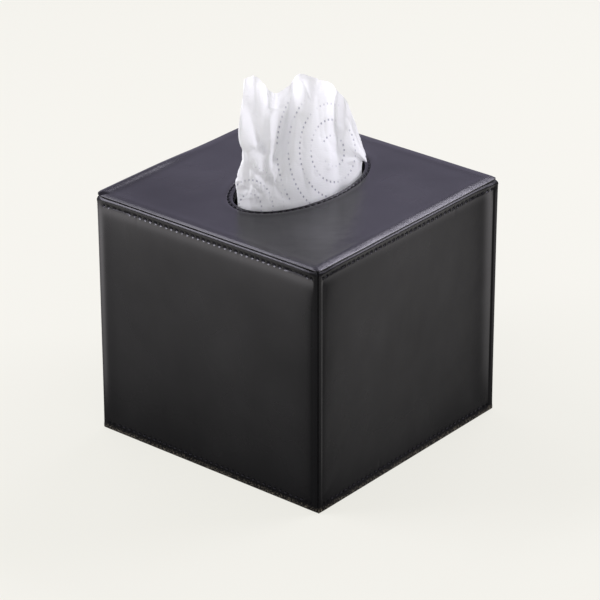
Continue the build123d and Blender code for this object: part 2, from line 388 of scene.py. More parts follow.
def face_shade(u, z, look):
    """Painted shade on a side's finish, and below nought painted shine: shade that changes from the
    foot to the seam, under the stitches and in the band beside the bead, along the upright edges and at
    the top corners, and shine in bands below the stitches and in narrow lines beside the upright edges."""
    side_edge = reach - np.abs(u)
    low, high = look["height_shade"]
    # Painted shade that changes from the foot to the seam, set for each face
    shade = low + (high - low) * z / seam_height + 0 * u
    ends = fade_in(side_edge, 2.0, 4.4)
    press = stitch_press(u - stitch_places[0], stitch_pitch)
    # Painted shade under each stitch and in the band between the bead and the stitches
    for edge, strength in ((seam_height - z, 1.0), (z, 0.8)):
        shade += strength * ends * (1.1 * press * bump_at(edge, stitch_inset, 0.85)
                                    + look["band"] * bump_at(edge, 2.6, 0.9))
    # Painted shine in bands below the stitches of the seam
    past = seam_height - z - stitch_inset
    for amount, place, width in look["painted_shine"]:
        shade -= amount * ends * fade_in(past, 0.3, 1.4) * bump_at(past, place, width)
    away_from_ends = fade_in(z, 8, 32) * fade_in(seam_top - z, 1.0, 8.0)
    # Painted shade along the upright edges; the narrow lines add painted shade above nought and painted
    # shine below it
    for sign, (dark, tail, lines) in zip((1, -1), look["edges"]):
        beside = dark * np.exp(-side_edge / tail)
        for place, width, line_shade in lines:
            beside = beside + line_shade * bump_at(side_edge, place, width) * away_from_ends
        shade += np.where(u * sign > 0, beside, 0.0)
    # Painted shade at the top corners, over the bright knob of the bead
    shade += bump_at(side_edge, 0, 2.4) * bump_at(seam_top - z, 2.6, 3.6)
    return shade


# upright: for the left and the right upright edge, as seen from outside, the place of the groove
# beside it, its depth, how far it runs out over the face and how far its rim stands out. foot: how
# far the foot stands out. lip: the height of the leather pushed up below each stitch. band: how much
# painted shade lies between the bead and the stitches. height_shade: how much painted shade lies at
# the foot and at the seam. painted_shine: bands of painted shine below the stitches, each with its
# amount, its place and its width. edges: how much painted shade lies along the left and the right
# upright edge, how far that reaches, and the narrow lines there, each with its place, width and
# painted shade, which below nought is painted shine
side_looks = {
    "front": dict(upright=[(1.2, 0.10, 3.6, 0.6), (3.4, 0.12, 4.0, 0.5)], foot=0.6, lip=0.27,
                  band=0.75, height_shade=(0.14, 0.14), painted_shine=[(1.5, 2.2, 2.8), (0.35, 4.0, 9.0)],
                  edges=[(0.0, 3.0, [(1.8, 1.7, -3.0)]), (1.8, 5.4, [(0.4, 0.5, -0.9)])]),
    "right": dict(upright=[(3.2, 0.26, 5.0, 0.5), (2.8, 0.50, 3.4, 1.2)], foot=1.1, lip=0.20,
                  band=0.25, height_shade=(0.0, 0.52), painted_shine=[(0.55, 0.8, 2.4)],
                  edges=[(1.1, 9.6, [(3.1, 0.5, -0.55)]),
                         (0.45, 28.0, [(5.0, 3.2, -2.1), (2.5, 0.6, 1.6)])]),
    "back": dict(upright=[(3.0, 0.50, 3.2, 1.2), (3.0, 0.25, 4.0, 0.5)], foot=0.6, lip=0.20,
                 band=0.5, height_shade=(0.14, 0.30), painted_shine=[(0.8, 2.2, 2.8)],
                 edges=[(0.2, 4.0, []), (0.4, 5.0, [(3.0, 0.55, -0.8)])]),
    "left": dict(upright=[(3.0, 0.25, 4.0, 0.5), (3.0, 0.30, 3.0, 0.6)], foot=0.6, lip=0.20,
                 band=0.5, height_shade=(0.14, 0.30), painted_shine=[(0.8, 2.2, 2.8)],
                 edges=[(0.4, 5.0, [(3.0, 0.55, -0.8)]), (0.2, 4.0, [])])}


# %% The leather of the four sides
outward_axes = {"front": (0, -1), "right": (1, 0), "back": (0, 1), "left": (-1, 0)}


def face_frame(name):
    out = np.array([*outward_axes[name], 0.0])
    along = np.cross(out, [0, 0, 1.0])
    return out, along


def side_leather(name, seed, wrinkles):
    out, along = face_frame(name)
    middle = np.linspace(near_edge[-1], 2 * reach - near_edge[-1], 190)[1:-1]
    from_end = np.concatenate([near_edge, middle, 2 * reach - near_edge[::-1]])
    u = from_end - reach
    z_middle = np.linspace(near_edge[-1], seam_height - near_edge[-1], 22)[1:-1]
    z = np.concatenate([seam_top - near_edge, z_middle[::-1], near_edge[::-1]])
    uu, zz = np.meshgrid(u, z)
    lift = face_relief(uu, zz, side_looks[name])
    shade = face_shade(uu, zz, side_looks[name])
    spots = np.stack([uu, zz, np.full_like(uu, seed * 40.0)], axis=-1)
    calm = fade_in(np.minimum(zz, seam_height - zz), 0.5, 14) * fade_in(reach - np.abs(uu), 1, 12)
    lift += (0.16 * soft_noise(spots, 31, seed) + 0.06 * soft_noise(spots, 11, seed + 4)) * calm
    for place, height, width, depth in wrinkles:
        lift -= depth * bump_at(uu, place, width) * bump_at(zz, height, 3.2)
    n = reach - flat_inset + lift
    folds = [(reach - board_inset, seam_height - 0.05),
             (reach - board_inset, seam_height - turned_leather),
             (reach - board_outset, seam_height - turned_leather),
             (reach - board_outset, turned_leather), (reach - board_inset, turned_leather),
             (reach - board_inset, hem_height), (reach - wall, hem_height), (reach - wall, 0.0)]
    fold_n, fold_z = [np.array([[fold[k]] * len(u) for fold in folds[::-1]]) for k in (0, 1)]
    n = np.vstack([n, fold_n])
    zz = np.vstack([zz, fold_z])
    uu = np.vstack([uu, np.tile(u, (len(folds), 1))])
    shade = np.vstack([shade, np.zeros((len(folds), len(u)))])
    mitre = np.clip(1 - (reach - np.abs(uu)) / 11, 0, 1)
    uu = np.sign(uu) * (np.abs(uu) - (reach - n) * mitre)
    points = n[..., None] * out + uu[..., None] * along + zz[..., None] * np.array([0, 0, 1.0])
    return add_grid(f"{name}_leather_skin", points, leather, [f"{name}_leather"],
                    wrap_rows=True, caps=True, painted_shade_and_shine=shade)


wrinkle_list = {
    "front": [(44.5, seam_height - 5.0, 0.7, 0.28), (-21.0, seam_height - 5.5, 0.9, 0.12),
              (12.0, 4.5, 0.8, 0.15)],
    "right": [(-37.0, seam_height - 5.0, 0.8, 0.12), (22.0, 5.0, 0.9, 0.15)],
    "back": [(15.0, seam_height - 5.0, 0.8, 0.15)],
    "left": [(-30.0, seam_height - 5.0, 0.8, 0.15)]}
for number, name in enumerate(outward_axes):
    side_leather(name, number + 1, wrinkle_list[name])

# %% [markdown]
# ## The leather of the top
#
# The top's leather is one piece with an oval cut in it. At the four edges it rolls over and tucks in
# above the sides, which leaves a dark seam. At the oval it turns down into the opening, with a ring of
# stitches 2.7 mm from the rim. A grid of rays from the middle of the oval suits this: each ray crosses
# the flange, the rim, the stitch ring, the flat and the outer roll in turn, so its points are one
# column, and each ring is one row.

# %% Sizes of the opening
opening_x, opening_y = -2.6, 4.6
opening_middle = np.array([opening_x, opening_y])
half_width, half_length = 23.0, 42.6
rim_stitch_inset = 2.7
flange_bottom = 124.8
ring_count = 63
top_corner_radius = 1.6


def oval_radius(angle, offset):
    across, along = half_width + offset, half_length + offset
    return 1 / np.sqrt((np.cos(angle) / across) ** 2 + (np.sin(angle) / along) ** 2)


def square_outline(inset):
    """Points round a square with rounded corners, as angles and distances from the oval's middle."""
    radius = max(top_corner_radius - inset, 0.3)
    corner = reach - inset - radius
    turn = np.linspace(0, np.pi / 2, 9)
    points = []
    for quarter, (cx, cy) in enumerate([(1, 1), (-1, 1), (-1, -1), (1, -1)]):
        points += [(cx * corner + radius * math.cos(t + quarter * np.pi / 2),
                    cy * corner + radius * math.sin(t + quarter * np.pi / 2)) for t in turn]
    points = np.array(points)
    fine = []
    for a, b in zip(points, np.roll(points, -1, axis=0)):
        steps = max(int(np.hypot(*(b - a)) / 0.5), 1)
        fine += [a + (b - a) * s / steps for s in range(steps)]
    fine = np.array(fine) - opening_middle
    angle = np.arctan2(fine[:, 1], fine[:, 0])
    order = np.argsort(angle)
    return angle[order], np.hypot(fine[:, 0], fine[:, 1])[order]


def square_radius(angle, inset):
    known, distance = square_outline(inset)
    return np.interp(angle, known, distance, period=2 * np.pi)


# %% The leather of the top
turns = np.linspace(0, 2 * np.pi, 4001)
oval_x, oval_y = half_width * np.cos(turns), half_length * np.sin(turns)
oval_length = np.concatenate([[0], np.cumsum(np.hypot(np.diff(oval_x), np.diff(oval_y)))])
even = np.interp(np.linspace(0, oval_length[-1], 761)[:-1], oval_length, turns)
ray_angles = np.arctan2(half_length * np.sin(even), half_width * np.cos(even))
# More rays go to the four corners, which are sharp
extra = []
for cx, cy in [(1, 1), (-1, 1), (-1, -1), (1, -1)]:
    middle_angle = math.atan2(cy * reach - opening_y, cx * reach - opening_x)
    extra += list(middle_angle + np.linspace(-0.022, 0.022, 14))
rays = np.unique(np.round(np.concatenate([ray_angles, extra]), 5))
rays = rays[(rays > -np.pi) & (rays <= np.pi)]
place_on_oval = np.arctan2(np.sin(rays) / half_length, np.cos(rays) / half_width)
ring_position = np.interp(np.mod(place_on_oval, 2 * np.pi), turns, oval_length)
ring_pitch = oval_length[-1] / ring_count
ring_press = stitch_press(ring_position, ring_pitch)

rows = []


def add_ring(distance, level):
    rows.append((distance, np.broadcast_to(level, rays.shape)))


# Up the flange and round the rim
for height in (flange_bottom, 125.6, 126.6, 127.4, 128.0):
    add_ring(oval_radius(rays, 0.0), height)
rim_radius = 1.15
for turn in np.radians([0, 15, 30, 45, 60, 75, 90]):
    add_ring(oval_radius(rays, rim_radius * (1 - math.cos(turn))),
             cover_height - rim_radius * (1 - math.sin(turn)) + 0.12)
# Across the stitches
for offset in (1.4, 1.65, 1.85, 2.05, 2.25, 2.45, 2.7, 2.95, 3.15, 3.35, 3.6, 3.9, 4.3, 4.8, 5.5, 6.5,
               7.8):
    valley = -(0.30 + 0.45 * ring_press) * bump_at(offset, rim_stitch_inset, 0.45)
    lip = 0.08 * ring_press * bump_at(offset, rim_stitch_inset - 1.0, 0.35)
    swell = 0.14 * bump_at(offset, 1.2, 0.6) + 0.18 * bump_at(offset, 5.0, 1.7)
    add_ring(oval_radius(rays, offset), cover_height + valley + lip + swell)
# Over the flat, where the oval turns into the square
inner = oval_radius(rays, 9.5)
outer = square_radius(rays, 8.0)
for share in np.linspace(0, 1, 17):
    add_ring(inner * (1 - share) + outer * share, cover_height)
# Over the roll at the edge, which is widest at the right, and lifts a little at the left
edge_x = opening_x + square_radius(rays, 0.0) * np.cos(rays)
edge_y = opening_y + square_radius(rays, 0.0) * np.sin(rays)
on_right = fade_in(edge_x, reach - 3.0, reach - 0.3)
on_front = fade_in(-edge_y, reach - 3.0, reach - 0.3)
on_left = fade_in(-edge_x, reach - 3.0, reach - 0.3) * fade_in(-edge_y, -15.0, 30.0)
roll_width = 2.4 + 1.9 * on_right - 0.4 * on_front * (1 - on_right)
roll_height = 0.20 + 0.26 * np.maximum(on_right, on_front) + 0.10 * on_right
corner_rounding = 0.4
for inset in (6.5, 5.4, 4.5, 3.9, 3.4, 3.0, 2.6, 2.2, 1.8, 1.4, 1.1, 0.8, 0.55, 0.4, 0.3, 0.22, 0.15,
              0.09, 0.04, 0.0):
    near = np.clip(1 - inset / roll_width, 0, 1)
    drop = roll_height * near ** 1.7 + float(rounded_edge(np.array([inset]), corner_rounding)[0])
    add_ring(square_radius(rays, inset), cover_height - drop + 0.10 * bump_at(inset, 4.4, 1.8)
             + 1.2 * on_left * bump_at(inset, 1.4, 3.0))
# Tucked in above the sides, and back underneath to the flange
for inset, level in ((0.0, seam_top + 0.09), (0.12, seam_top + 0.02), (0.5, seam_top),
                     (2.4, seam_top), (2.6, seam_height)):
    add_ring(square_radius(rays, inset), level)
for offset, level in ((turned_leather + 0.4, seam_height), (turned_leather, seam_height),
                      (turned_leather, flange_bottom)):
    add_ring(oval_radius(rays, offset), level)
radius = np.array([row[0] for row in rows])
height = np.array([row[1] for row in rows])

# %% The top's painted shade and shine, and its mesh
from_rim = radius - oval_radius(rays, 0.0)
# Painted shade under each stitch of the ring, beside the ring and at the rim
ring_shade = (0.85 * ring_press * bump_at(from_rim, rim_stitch_inset, 0.65)
              + 0.55 * bump_at(from_rim, 2.2, 1.2) + 0.3 * (from_rim < 1.2))
top_points = np.stack([opening_x + radius * np.cos(rays), opening_y + radius * np.sin(rays), height],
                      axis=-1)
# Painted reflection patches: where each lies, how wide it is, and its painted shade, which below nought
# is painted shine
for x, y, width, amount in [(45.0, -37.0, 17.0, -0.50), (-51.0, -49.0, 26.0, 0.40),
                            (20.0, 52.0, 20.0, 0.08)]:
    away = np.hypot(top_points[..., 0] - x, top_points[..., 1] - y)
    ring_shade += amount * bump_at(away, 0, width)
# Painted shade at the four corners of the top
corner_away = np.hypot(reach - np.abs(top_points[..., 0]), reach - np.abs(top_points[..., 1]))
ring_shade += 0.9 * bump_at(corner_away, 0, 1.7)
upper = (height > cover_height - 1.0)
top_points[..., 2] += upper * (0.10 * soft_noise(top_points, 34, 9) + 0.04 * soft_noise(
    top_points, 12, 10))
add_grid("top_leather_skin", top_points, leather, ["top_leather"],
         wrap_rows=True, wrap_columns=True, painted_shade_and_shine=ring_shade)

# %% [markdown]
# ## The stitches
#
# Each stitch is a short piece of thread that comes up through one hole and goes down through the next.
# A short tube that dips at both ends shows exactly that. All the stitches of a row are one mesh, since
# the real row is one thread.


# %% Thread
def stitch_mesh(name, places, nodes):
    """places is a list of middle, direction along and direction up, in millimetres."""
    sides, rings = 8, 9
    share = np.linspace(-1, 1, rings)
    arch = 0.22 - 0.62 * np.abs(share) ** 3.2
    thick = 0.50 * np.sqrt(np.clip(1 - np.abs(share) ** 6, 0.12, 1))
    vertices, faces, uvs = [], [], []
    for middle, along, up in places:
        across = np.cross(up, along)
        start = len(vertices)
        for s, lift, r in zip(share, arch, thick):
            centre = middle + along * s * stitch_length / 2 + up * lift
            for k in range(sides):
                turn = 2 * math.pi * k / sides
                vertices.append((centre + across * r * math.cos(turn) + up * r * math.sin(turn)) * MM)
        for ring in range(rings - 1):
            for k in range(sides):
                a, b = start + ring * sides + k, start + ring * sides + (k + 1) % sides
                faces.append((a, b, b + sides, a + sides))
                uvs += [((ring + i) / 4, (k + j) / 4) for i, j in ((0, 0), (0, 1), (1, 1), (1, 0))]
        for first, step in ((start, -1), (start + (rings - 1) * sides, 1)):
            faces.append([first + k for k in range(sides)][::step])
            uvs += [(0, 0)] * sides
    mesh = bpy.data.meshes.new(name)
    mesh.from_pydata([tuple(v) for v in vertices], [], faces)
    layer = mesh.uv_layers.new(name="thread")
    layer.data.foreach_set("uv", [x for uv in uvs for x in uv])
    mesh.polygons.foreach_set("use_smooth", [True] * len(mesh.polygons))
    mesh.materials.append(thread)
    print(f"{name}: {len(places)} stitches")
    return add_piece(name, mesh, nodes)


for name in outward_axes:
    out, along = face_frame(name)
    places = []
    for z in (seam_height - stitch_inset, stitch_inset):
        for u in stitch_places:
            n = reach - flat_inset + float(face_relief(
                np.array([u]), np.array([z]), side_looks[name])[0])
            places.append((out * n + along * u + np.array([0, 0, z]), along, out))
    stitch_mesh(f"{name}_thread", places, [f"{name}_stitching"])

ring_turns = np.interp(np.arange(ring_count) * ring_pitch, oval_length, turns)
places = []
for turn in ring_turns:
    across, length = half_width + rim_stitch_inset, half_length + rim_stitch_inset
    spot = np.array([opening_x + across * math.cos(turn), opening_y + length * math.sin(turn),
                     cover_height - 0.60])
    along = np.array([-across * math.sin(turn), length * math.cos(turn), 0.0])
    places.append((spot, along / np.linalg.norm(along), np.array([0, 0, 1.0])))
stitch_mesh("opening_thread", places, ["opening_stitching"])

# %% [markdown]
# ## The tissue
#
# The tissue is two-ply crêpe paper, very light and slightly see-through, with rows of embossed dots
# that hold the plies together. It was folded in the pack, so it comes up doubled and creased. Here it
# is one sheet, folded back on itself at its left edge. Its creases come from tables: where each crease
# passes the rim, where it is half way up, and where it ends. Places are shares of the opening's half
# sizes and of the tissue's rise above the cover. Its foot on the pack, which no view shows, is a
# guess: 160 mm along, where the sheet is 173 mm at the rim and 201 mm at its middle.

# %% The tissue's creases
tissue_rise = 64.0
pack_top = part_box("tissue_pack")[1][2] / MM
rim_creases = [
    (-0.26, -0.94), (0.06, -0.94), (0.22, -0.83), (0.42, -0.84), (0.42, -0.70), (0.68, -0.65),
    (0.87, -0.35), (0.96, 0.00), (0.68, 0.22), (0.86, 0.37), (0.76, 0.56), (0.58, 0.76)]
middle_creases = [
    (-0.29, -0.89, 0.62), (-0.11, -0.72, 0.61), (-0.11, -0.58, 0.47), (0.09, -0.56, 0.53),
    (-0.07, -0.25, 0.44), (0.23, -0.28, 0.59), (0.50, -0.12, 0.50), (0.57, 0.14, 0.43),
    (0.40, 0.36, 0.33), (0.64, 0.38, 0.30), (0.71, 0.53, 0.21), (0.73, 0.75, 0.06)]
edge_creases = [
    (-0.37, -0.72, 0.96), (-0.23, -0.58, 0.95), (-0.33, -0.38, 0.82), (-0.08, -0.38, 0.78),
    (-0.22, -0.06, 0.79), (0.08, -0.12, 0.90), (0.37, 0.08, 0.85), (0.40, 0.31, 0.76),
    (0.23, 0.53, 0.66), (0.52, 0.52, 0.59), (0.60, 0.65, 0.36), (0.65, 0.79, 0.11)]


def crease_row(shares, height=None, gather=1.0):
    return np.array([[opening_x + gather * s[0] * half_width, opening_y + gather * s[1] * half_length,
                      cover_height + s[2] * tissue_rise if height is None else height]
                     for s in shares])


front_rows = [
    crease_row(rim_creases, pack_top + 0.2, 0.9), crease_row(rim_creases, flange_bottom - 0.3),
    crease_row(rim_creases, cover_height + 0.3), crease_row(middle_creases), crease_row(edge_creases)]


def neighbour_mean(row, own_weight):
    return (np.roll(row, 1, axis=0) + own_weight * row + np.roll(row, -1, axis=0)) / (own_weight + 2)


back_shift = np.array([-0.965, 0.262, 0.0])
back_rows = []
for level, (row, distance) in enumerate(zip(front_rows, (2.2, 5.0, 5.4, 5.8, 4.6))):
    calm = neighbour_mean(row, 1)
    calm[0], calm[-1] = row[0], row[-1]
    zigzag = np.where(np.arange(len(row)) % 2 == 0, 1.0, -1.0)[:, None] * back_shift * distance * 0.35
    ends = np.minimum(np.arange(len(row)), 1)[:, None]
    leaf = calm + back_shift * distance * ends + zigzag * ends
    if level >= 3:
        leaf[:, 2] = np.minimum(leaf[:, 2], row[:, 2]) - (2.0, 5.0)[level - 3] * ends[:, 0]
    back_rows.append(leaf[::-1])
smooth_rows = []
for row, softness in zip(front_rows, (0.2, 0.7, 0.95, 0.95, 0.8)):
    calm = neighbour_mean(row, 2)
    calm[0], calm[-1] = row[0], row[-1]
    calm[2:6] = neighbour_mean(calm, 1)[2:6]
    calm[:, 2] = row[:, 2]
    smooth_rows.append(row * (1 - softness) + calm * softness)
crease_rows = [np.vstack([back[:-1], front]) for back, front in zip(back_rows, smooth_rows)]
print(f"{crease_rows[0].shape[0]} creases")

# %% [markdown]
# ## Curves through the creases
#
# A cubic curve through the table's points gives round folds, and straight lines between them give
# sharp ones. Real tissue is between the two, so the two are mixed.


# %% The tissue's surface
def curve_through(values, knots, samples, sharp):
    """Values at the samples: a cubic curve through the knots mixed with straight lines."""
    values = np.asarray(values, float)
    slope = np.gradient(values, knots, axis=0)
    place = np.clip(np.searchsorted(knots, samples, side="right") - 1, 0, len(knots) - 2)
    gap = (knots[place + 1] - knots[place])
    t = ((samples - knots[place]) / gap)
    shape = (len(samples),) + (1,) * (values.ndim - 1)
    t, gap = t.reshape(shape), gap.reshape(shape)
    a, b, sa, sb = values[place], values[place + 1], slope[place], slope[place + 1]
    cubic = ((2 * t ** 3 - 3 * t ** 2 + 1) * a + (t ** 3 - 2 * t ** 2 + t) * gap * sa
             + (-2 * t ** 3 + 3 * t ** 2) * b + (t ** 3 - t ** 2) * gap * sb)
    return sharp * (a * (1 - t) + b * t) + (1 - sharp) * cubic


level_knots = np.array([0.0, 26.0, 31.5, 62.0, 92.0])
level_samples = np.concatenate([np.linspace(0, 26, 16)[:-1], np.linspace(26, 31.5, 12)[:-1],
                                np.linspace(31.5, 92, 150)])
crease_count = crease_rows[0].shape[0]
column_knots = np.arange(crease_count, dtype=float)
column_samples = np.linspace(0, crease_count - 1, 480)
levels = curve_through(np.array(crease_rows), level_knots, level_samples, 0.25)
surface = curve_through(np.swapaxes(levels, 0, 1), column_knots, column_samples, 0.22)
surface = np.swapaxes(surface, 0, 1)


def grid_normals(points):
    across = np.gradient(points, axis=1)
    up = np.gradient(points, axis=0)
    normal = np.cross(across, up)
    return normal / np.maximum(np.linalg.norm(normal, axis=-1, keepdims=True), 1e-9)


def sheet_distance(points):
    """Distance along the sheet from its left crease and from its foot, in millimetres."""
    width = np.linalg.norm(np.diff(points[len(points) // 2], axis=0), axis=-1)
    rise = np.linalg.norm(np.diff(points[:, points.shape[1] // 2], axis=0), axis=-1)
    s = np.concatenate([[0], np.cumsum(width)])
    t = np.concatenate([[0], np.cumsum(rise)])
    return np.meshgrid(s, t)


view_turn, view_tilt = math.radians(39.5), math.radians(26.0)
to_viewer = np.array([math.sin(view_turn), -math.cos(view_turn), 0.0])


def as_seen(points):
    """How far across and how far up each point is, from the middle of the opening, to someone who
    looks at the sheet from the front corner and from 26 degrees above."""
    across = points[..., 0] * math.cos(view_turn) + points[..., 1] * math.sin(view_turn) - 0.9
    away = -(points[..., :2] @ to_viewer[:2]) - 5.2
    return across, (points[..., 2] - cover_height) * math.cos(view_tilt) + away * math.sin(view_tilt)


sheet_s, sheet_t = sheet_distance(surface)
print(f"the sheet is about {sheet_s.max():.0f} mm across and {sheet_t.max():.0f} mm up")

# %% [markdown]
# ## Folds and crumples
#
# The folds that give the tissue its look were read from the photograph one by one: where each begins
# and ends, how wide it is there and how deep. They run together downwards, as cloth does that is
# gripped at its foot. Paper bends along sharp lines and stays nearly flat between them, and the
# absolute value of a noise has such lines where the noise crosses zero, so that makes the crumpling.


# %% Fold and crumple the sheet
# Each fold: across and up at its start, across and up at its end, half-widths there, depth
folds_seen = [
    (-22.5, 52.0, -21.5, 30.0, 2.0, 2.4, 1.6), (-25.5, 33.4, -17.5, 13.0, 4.2, 1.6, 3.4),
    (-1.8, 44.0, -12.4, 8.0, 4.0, 1.3, 4.8), (-17.0, 44.0, -14.5, 33.0, 2.4, 2.0, 1.8),
    (17.6, 46.0, 18.4, 24.0, 2.4, 3.6, 3.2), (18.4, 24.0, 18.6, -2.0, 3.6, 1.6, 2.8),
    (-33.0, 11.0, -18.6, 13.7, 2.6, 1.4, 2.6), (-14.6, -1.6, -5.0, -12.0, 2.4, 1.6, 1.8),
    (-25.5, 6.0, -18.0, 1.0, 1.3, 1.0, 0.8), (-27.0, -4.6, -18.6, -7.5, 1.2, 1.0, 0.7),
    (-14.6, 34.9, -7.2, 34.0, 1.0, 0.8, -0.8), (-14.5, 36.0, -14.0, 20.0, 4.2, 3.2, -2.4),
    (-22.5, 3.0, -23.0, -8.0, 4.5, 4.0, -1.8), (13.2, 40.0, 14.6, 6.0, 1.8, 1.4, -1.2),
    (8.0, 40.0, 10.5, 18.0, 1.2, 0.9, 0.5), (24.0, 30.0, 30.0, 16.0, 1.4, 1.0, 0.7),
    (-28.5, 46.0, -27.5, 24.0, 1.2, 1.2, -0.7), (2.0, 46.0, 5.0, 38.0, 1.1, 0.8, 0.6)]


def fold_depth(across, up):
    depth = np.zeros_like(across)
    for ax, ay, bx, by, width_a, width_b, deep in folds_seen:
        run = np.array([bx - ax, by - ay])
        share = ((across - ax) * run[0] + (up - ay) * run[1]) / (run @ run)
        share = np.clip(share, 0, 1)
        away = np.hypot(across - ax - share * run[0], up - ay - share * run[1])
        depth += deep * np.exp(-(away / (width_a + (width_b - width_a) * share)) ** 1.5)
    return depth


spots = np.stack([sheet_s / 15.0, sheet_t / 24.0, np.zeros_like(sheet_s)], axis=-1)
small_spots = np.stack([sheet_s / 6.0, sheet_t / 8.0, np.full_like(sheet_s, 3.0)], axis=-1)


def creased_noise(points, seed):
    """Nearly flat, with sharp lines where a soft noise crosses zero."""
    return np.abs(soft_noise(points, 1.0, seed)) - 0.2


large = creased_noise(spots, 21)
small = creased_noise(small_spots, 22)
wave = soft_noise(small_spots * 0.45, 1.0, 23)
tiny = creased_noise(small_spots * 2.6, 25)
above = fade_in(surface[..., 2], cover_height + 0.5, cover_height + 9)
seen_across, seen_up = as_seen(surface)
puckered = 1.3 * fade_in(-seen_across, 4.0, 14.0) * fade_in(-seen_up, -20.0, -6.0)
crumple = 1.5 * large + (0.3 + 0.9 * puckered) * small + 0.5 * wave
crumple = (crumple + (0.06 + 0.45 * puckered) * tiny) * (0.2 + 0.8 * above)
front_leaf = fade_in(np.arange(surface.shape[1]), 225, 262)[None, :]
surface = surface + grid_normals(surface) * crumple[..., None]
notch = 3.0 * bump_at(seen_up, 9.8, 6.4) * fade_in(-seen_across, 18.0, 27.0) * above
surface = surface + np.array([math.cos(view_turn), math.sin(view_turn), 0.0]) * notch[..., None]
surface = surface - to_viewer * (fold_depth(seen_across, seen_up) * above * front_leaf)[..., None]
tip = fade_in(level_samples, 78, 92)[:, None]
surface[..., 2] += tip * (1.2 * soft_noise(small_spots * 0.6, 1.0, 24) + 0.8 * small + 0.9 * tiny)

# Through the opening the sheet stays inside the oval, and on top it stays above the leather
offset = surface[..., :2] - opening_middle
norm = np.hypot(offset[..., 0] / half_width, offset[..., 1] / half_length)
most = 0.975
inside = np.where((surface[..., 2] < cover_height + 1.0) & (norm > most), most / norm, 1.0)
surface[..., :2] = opening_middle + offset * inside[..., None]
surface[..., 2] = np.maximum(surface[..., 2], pack_top + 0.2)

# %% [markdown]
# ## Embossed tissue
#
# The dots are pressed in ovals, one inside the other, 5.5 mm apart, with a dot every 1.9 mm. The
# shader draws them from the sheet's own millimetres, which are stored on the mesh, so they follow
# every fold. Between them the crêpe has fine cross wrinkles about 0.4 mm apart; they are drawn at
# 0.7 mm, since finer ones do not show at this size. Some of the light comes through the paper, so a
# translucent share is mixed in.


# %% Embossed tissue
def embossed_tissue(oval_centres):
    material, tree = new_material("embossed_two_ply_tissue")
    place = add_node(tree, "ShaderNodeAttribute", attribute_name="hung_mm").outputs["Vector"]
    ring_gap, dot_gap = 5.5, 1.9
    emboss = 0.0
    for centre, stretch, widest in oval_centres:
        moved = compute_vector(tree, "ADD", place, (-centre[0], -centre[1], 0))
        round_off = compute_vector(tree, "MULTIPLY", moved, (1.0, 1.0 / stretch, 0.0))
        parts = add_node(tree, "ShaderNodeSeparateXYZ", {"Vector": round_off})
        reach_out = compute_vector(tree, "LENGTH", round_off, (0, 0, 0), output="Value")
        # How far it is to the nearest ring
        ring = compute(tree, "DIVIDE", reach_out, ring_gap)
        ring_number = compute(tree, "ROUND", ring)
        away = compute(tree, "MULTIPLY", compute(tree, "SUBTRACT", ring, ring_number), ring_gap)
        line = remap(tree, compute(tree, "MULTIPLY", away, away), 0.22, 0.03)
        # A whole number of dots goes round each ring
        dots_round = compute(tree, "ROUND", compute(
            tree, "MULTIPLY", ring_number, math.tau * ring_gap / dot_gap))
        turn = compute(tree, "ARCTAN2", parts.outputs["Y"], parts.outputs["X"])
        along = compute(tree, "SINE", compute(tree, "MULTIPLY", turn, dots_round))
        near = remap(tree, reach_out, widest + 0.6, widest)
        dots = compute(tree, "MULTIPLY", compute(tree, "MULTIPLY", line, near),
                       remap(tree, along, 0.0, 0.8))
        emboss = compute(tree, "MAXIMUM", emboss, dots)
    # The dots are stronger in some places than in others, and fade out near the top
    strong = remap(tree, noise_field(tree, place, 1 / 9.0, 1.0), 0.36, 0.56)
    up = add_node(tree, "ShaderNodeSeparateXYZ", {"Vector": place}).outputs["Y"]
    strong = compute(tree, "MULTIPLY", strong, remap(tree, up, 41.0, 33.0))
    emboss = compute(tree, "MULTIPLY", emboss, strong)
    crepe_place = compute_vector(tree, "MULTIPLY", place, (0.35, 1.4, 1.0))
    crepe = relief(tree, noise_field(tree, crepe_place, 1.0, 3.0, 0.6), 0.5, 0.25)
    # The pressed dots get a greyer colour and let less light through: painted shade in their dents
    paper = add_node(tree, "ShaderNodeBsdfPrincipled", {
        "Base Color": blend(tree, emboss, "#f7f8fa", "#bfbecb"), "Roughness": 0.9, "IOR": 1.4,
        "Sheen Weight": 0.15, "Normal": relief(tree, emboss, 0.9, 0.45, crepe, invert=True)})
    through = add_node(tree, "ShaderNodeBsdfTranslucent", {
        "Color": blend(tree, emboss, "#fdfdf8", "#c6c4ca"), "Normal": crepe})
    thin = add_node(tree, "ShaderNodeMixShader", {
        0: 0.3, 1: paper.outputs["BSDF"], 2: through.outputs["BSDF"]})
    add_node(tree, "ShaderNodeOutputMaterial", {"Surface": thin.outputs["Shader"]})
    return material


tissue_paper = embossed_tissue([((16.5, 14.2), 1.4, 28.0), ((-24.0, -14.0), 1.2, 16.0)])
tissue = add_grid("tissue_sheet", surface, tissue_paper, ["pulled_tissue"], crisp=0)
layer = tissue.data.attributes.new("hung_mm", "FLOAT_VECTOR", "POINT")
stored = np.stack([*as_seen(surface), np.zeros_like(sheet_s)], axis=-1).reshape(-1)
layer.data.foreach_set("vector", stored)
area = sum(face.area for face in tissue.data.polygons)
print(f"tissue area {area:.4f} square metres")

# %% [markdown]
# ## The pack under the cover
#
# The cover stands over a cube of folded tissues. Little of it shows, only a pale glimpse through the
# opening and the whole of it from below. Each folded tissue is a layer with a soft rounded edge, so the
# block's sides are ribbed, and the ribs are drawn 2 mm apart, as coarse as they need to be to show.


